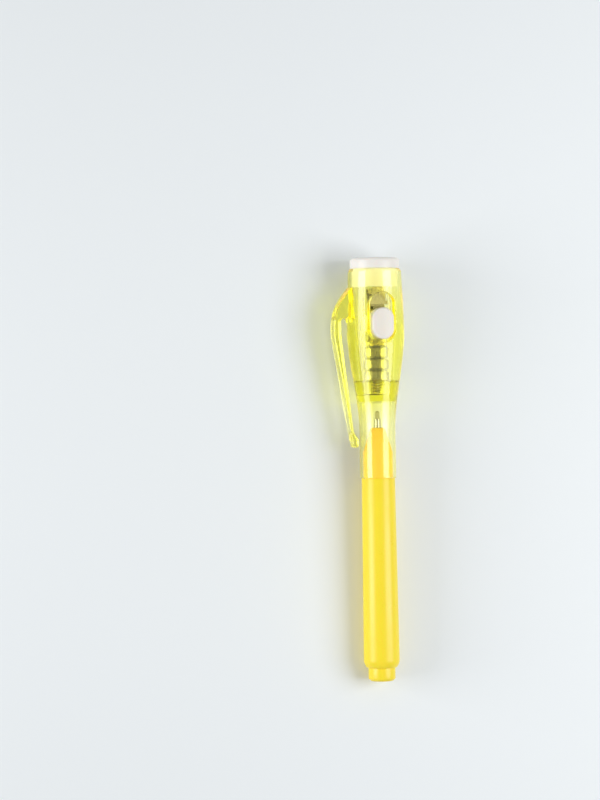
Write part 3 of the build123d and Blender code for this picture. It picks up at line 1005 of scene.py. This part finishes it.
@dataclass
class Torch(SubAssembly):
    """White plug with the lamp in it. Sizes are in millimetres."""

    spigot_radius: float = 7.15
    head_round: float = 1.0
    bore_radius: float = 2.52
    seat_radius: float = 2.92
    seat_depth: float = 1.0
    mouth_edge: float = 0.5
    edge: float = 0.12
    frame_offset: float = 1.27
    frame_half: float = 0.22
    anvil_width: float = 1.5
    frame_height: float = 4.6
    frame_edge: float = 0.06

    def plug(self) -> bmesh.types.BMesh:
        """Round-edged head, spigot in the cap's rim and the lamp's hole.

        Returns:
            The closed shape in millimetres.
        """
        low, high = place_of("light_plug")
        rim = place_of("cap_shell")[1].y
        corner = (high.x - self.head_round, high.y - self.head_round)
        head = arc(corner, self.head_round, 0.0, math.pi / 2, ARC_STEPS)
        outline = head + [
            (self.bore_radius + self.mouth_edge, high.y),
            (self.bore_radius, high.y - self.mouth_edge),
            (self.bore_radius, low.y + self.seat_depth),
            (self.seat_radius, low.y + self.seat_depth),
            (self.seat_radius, low.y),
            (self.spigot_radius, low.y),
            (self.spigot_radius, rim),
            (high.x, rim),
        ]
        return turned(outline, True, self.edge)

    def lead_frame(self, side: int) -> bmesh.types.BMesh:
        """Post or anvil of the lead frame inside the lamp's lens.

        Args:
            side: 1 for the post, -1 for the wider anvil.

        Returns:
            The shape.
        """
        base = place_of("uv_led")[0].y
        inner = self.frame_offset - (self.anvil_width if side < 0 else self.frame_half)
        across = sorted((side * inner, side * (self.frame_offset + self.frame_half)))
        low = Vector((-self.frame_half, base + self.seat_depth, across[0]))
        high = Vector((self.frame_half, base + self.frame_height, across[1]))
        return bar(low, high, self.frame_edge)

    def build(self) -> list[bpy.types.Object]:
        """Make the plug and the lead frame, and dress the rest.

        Returns:
            The pieces.
        """
        return [
            self.add("lamp_plug", self.plug(), PLUG_WHITE, Body.LAMP, Slot.WHITE_PLASTIC, "light_plug"),
            self.dress("uv_led", LENS_CLEAR),
            self.add("lamp_post", self.lead_frame(1), LEG_TIN, Body.LAMP, Slot.TINNED_WIRE),
            self.add("lamp_anvil", self.lead_frame(-1), LEG_TIN, Body.LAMP, Slot.TINNED_WIRE),
            self.dress("led_anode_leg", LEG_TIN),
            self.dress("led_cathode_leg", LEG_TIN),
        ]


@dataclass
class Studio:
    """Plain pale floor, soft lamps and the camera. Sizes are in metres unless a name says otherwise."""

    roll_degrees: float = 15.2
    tilt_degrees: float = 1.09
    picture_width: int = 600
    picture_height: int = 800
    picture_reach: float = 0.25
    anchor_along: float = 0.0658
    anchor_pixel: Point = (378.2, 470.0)
    camera_distance: float = 0.8
    sensor_mm: float = 36.0
    near_limit: float = 0.01
    floor_reach: float = 1.5
    floor_side: float = 0.6
    floor_bend: float = -0.06
    floor_rise: float = 0.2
    belly_along: float = 0.1095
    belly_drop: float = 0.00895
    tail_along: float = 0.0067
    tail_drop: float = 0.00562
    lamp_distance: float = 0.6
    lamp_length: float = 0.34
    lamp_width: float = 0.42
    left_degrees: float = 62.0
    right_degrees: float = 54.0
    left_power: float = 2.52
    right_power: float = 2.17
    sky_colour: str = "f4f7f9"
    sky_strength: float = 0.4
    sky_look: float = 0.8
    light_bounces: int = 32

    def axes(self) -> tuple[Vector, Vector, Vector]:
        """Work out how the picture lies on the pen.

        Returns:
            The picture's right and up directions and the direction back to the camera.
        """
        roll = math.radians(self.roll_degrees)
        tilt = math.radians(self.tilt_degrees)
        back = Vector((-math.sin(roll), 0, math.cos(roll)))
        across = Vector((math.cos(roll), 0, math.sin(roll)))
        right = math.cos(tilt) * across - math.sin(tilt) * PEN_AXIS
        up = math.sin(tilt) * across + math.cos(tilt) * PEN_AXIS
        return right, up, back

    def camera(self) -> bpy.types.Object:
        """Set the camera up so that the pen lies where the photograph has it.

        Returns:
            The camera.
        """
        right, up, back = self.axes()
        pixel = self.picture_reach / self.picture_height
        shift_right = (self.picture_width / 2 - self.anchor_pixel[0]) * pixel
        shift_up = (self.anchor_pixel[1] - self.picture_height / 2) * pixel
        aim = self.anchor_along * PEN_AXIS + shift_right * right + shift_up * up
        data = bpy.data.cameras.new("camera")
        data.sensor_width = self.sensor_mm
        data.lens = self.sensor_mm * self.camera_distance / self.picture_reach
        data.clip_start = self.near_limit
        camera = bpy.data.objects.new("camera", data)
        camera.matrix_world = self.facing(right, up, back, aim + back * self.camera_distance)
        bpy.context.scene.collection.objects.link(camera)
        bpy.context.scene.camera = camera
        return camera

    @staticmethod
    def facing(right: Vector, up: Vector, back: Vector, place: Vector) -> Matrix:
        """Return the matrix of an object with these axes at a place."""
        return Matrix.Translation(place) @ Matrix((right, up, back)).transposed().to_4x4()

    def floor(self) -> bpy.types.Object:
        """Make the floor that the cap's belly and the barrel's tail rest on.

        Returns:
            The floor.
        """
        slope = (self.tail_drop - self.belly_drop) / (self.belly_along - self.tail_along)
        low_height, high_height = (
            slope * (bend - self.tail_along) - self.tail_drop for bend in (self.floor_bend, self.floor_rise)
        )
        line = [
            (-self.floor_reach, low_height),
            (self.floor_bend, low_height),
            (self.floor_rise, high_height),
            (self.floor_reach, high_height),
        ]
        shape = bmesh.new()
        points = [shape.verts.new((-self.floor_side, along, height)) for along, height in line]
        edges = [shape.edges.new(pair) for pair in zip(points, points[1:])]
        grown = bmesh.ops.extrude_edge_only(shape, edges=edges)["geom"]
        far = [item for item in grown if isinstance(item, bmesh.types.BMVert)]
        bmesh.ops.translate(shape, vec=(2 * self.floor_side, 0, 0), verts=far)
        bmesh.ops.recalc_face_normals(shape, faces=shape.faces)
        mesh = bpy.data.meshes.new("floor")
        shape.to_mesh(mesh)
        shape.free()
        mesh.shade_smooth()
        mesh.materials.append(FLOOR_PALE.material())
        floor = bpy.data.objects.new("floor", mesh)
        bpy.context.scene.collection.objects.link(floor)
        return floor

    def lamp(self, name: str, side: int, degrees: float, power: float) -> bpy.types.Object:
        """Hang one long soft lamp beside the camera's line.

        Args:
            name: The lamp's name.
            side: -1 for the picture's left, 1 for its right.
            degrees: Angle from the camera's line.
            power: Power in watts.

        Returns:
            The lamp.
        """
        right, up, back = self.axes()
        angle = math.radians(degrees)
        out = math.cos(angle) * back + side * math.sin(angle) * right
        data = bpy.data.lights.new(name, "AREA")
        data.shape = "RECTANGLE"
        data.size = self.lamp_width
        data.size_y = self.lamp_length
        data.energy = power
        lamp = bpy.data.objects.new(name, data)
        bpy.context.scene.collection.objects.link(lamp)
        place = self.anchor_along * PEN_AXIS + out * self.lamp_distance
        lamp.matrix_world = self.facing(up.cross(out), up, out, place)
        lamp.visible_camera = False
        return lamp

    def sky(self) -> None:
        """Light everything evenly from all round, with a paler sky where it is looked at or mirrored."""
        world = bpy.data.worlds.new("studio_sky")
        world.use_nodes = True
        sheet = NodeSheet(world.node_tree)
        path = sheet.add("ShaderNodeLightPath")
        mirrored = sheet.maths("MAXIMUM", path.outputs["Is Glossy Ray"], path.outputs["Is Transmission Ray"])
        looked_at = sheet.maths("MAXIMUM", path.outputs["Is Camera Ray"], mirrored)
        background = world.node_tree.nodes["Background"]
        sheet.feed(background.inputs["Color"], paint(self.sky_colour))
        strength = sheet.spread(looked_at, self.sky_strength, self.sky_look, floor=0.0, ceiling=1.0)
        sheet.feed(background.inputs["Strength"], strength)
        world.cycles.sampling_method = "NONE"
        bpy.context.scene.world = world

    def bounces(self) -> None:
        """Let light find its way through the many clear walls."""
        cycles = bpy.context.scene.cycles
        cycles.max_bounces = self.light_bounces
        cycles.transmission_bounces = self.light_bounces
        cycles.glossy_bounces = self.light_bounces
        cycles.transparent_max_bounces = self.light_bounces

    def build(self) -> None:
        """Set the studio up."""
        bpy.context.scene.view_settings.view_transform = "Standard"
        self.bounces()
        self.floor()
        self.sky()
        self.lamp("left_softbox", -1, self.left_degrees, self.left_power)
        self.lamp("right_softbox", 1, self.right_degrees, self.right_power)
        self.camera()


def main() -> None:
    """Build the pen and the studio."""
    logging.basicConfig(level=logging.INFO, format="%(name)s: %(message)s")
    for assembly in (PenBody(), WritingEnd(), CapMoulding(), CellPack(), Switch(), Torch()):
        for piece in assembly.build():
            LOG.info("%s: %s, %d faces", type(assembly).__name__, piece.name, len(piece.data.polygons))
    Studio().build()


if __name__ == "__main__":
    main()
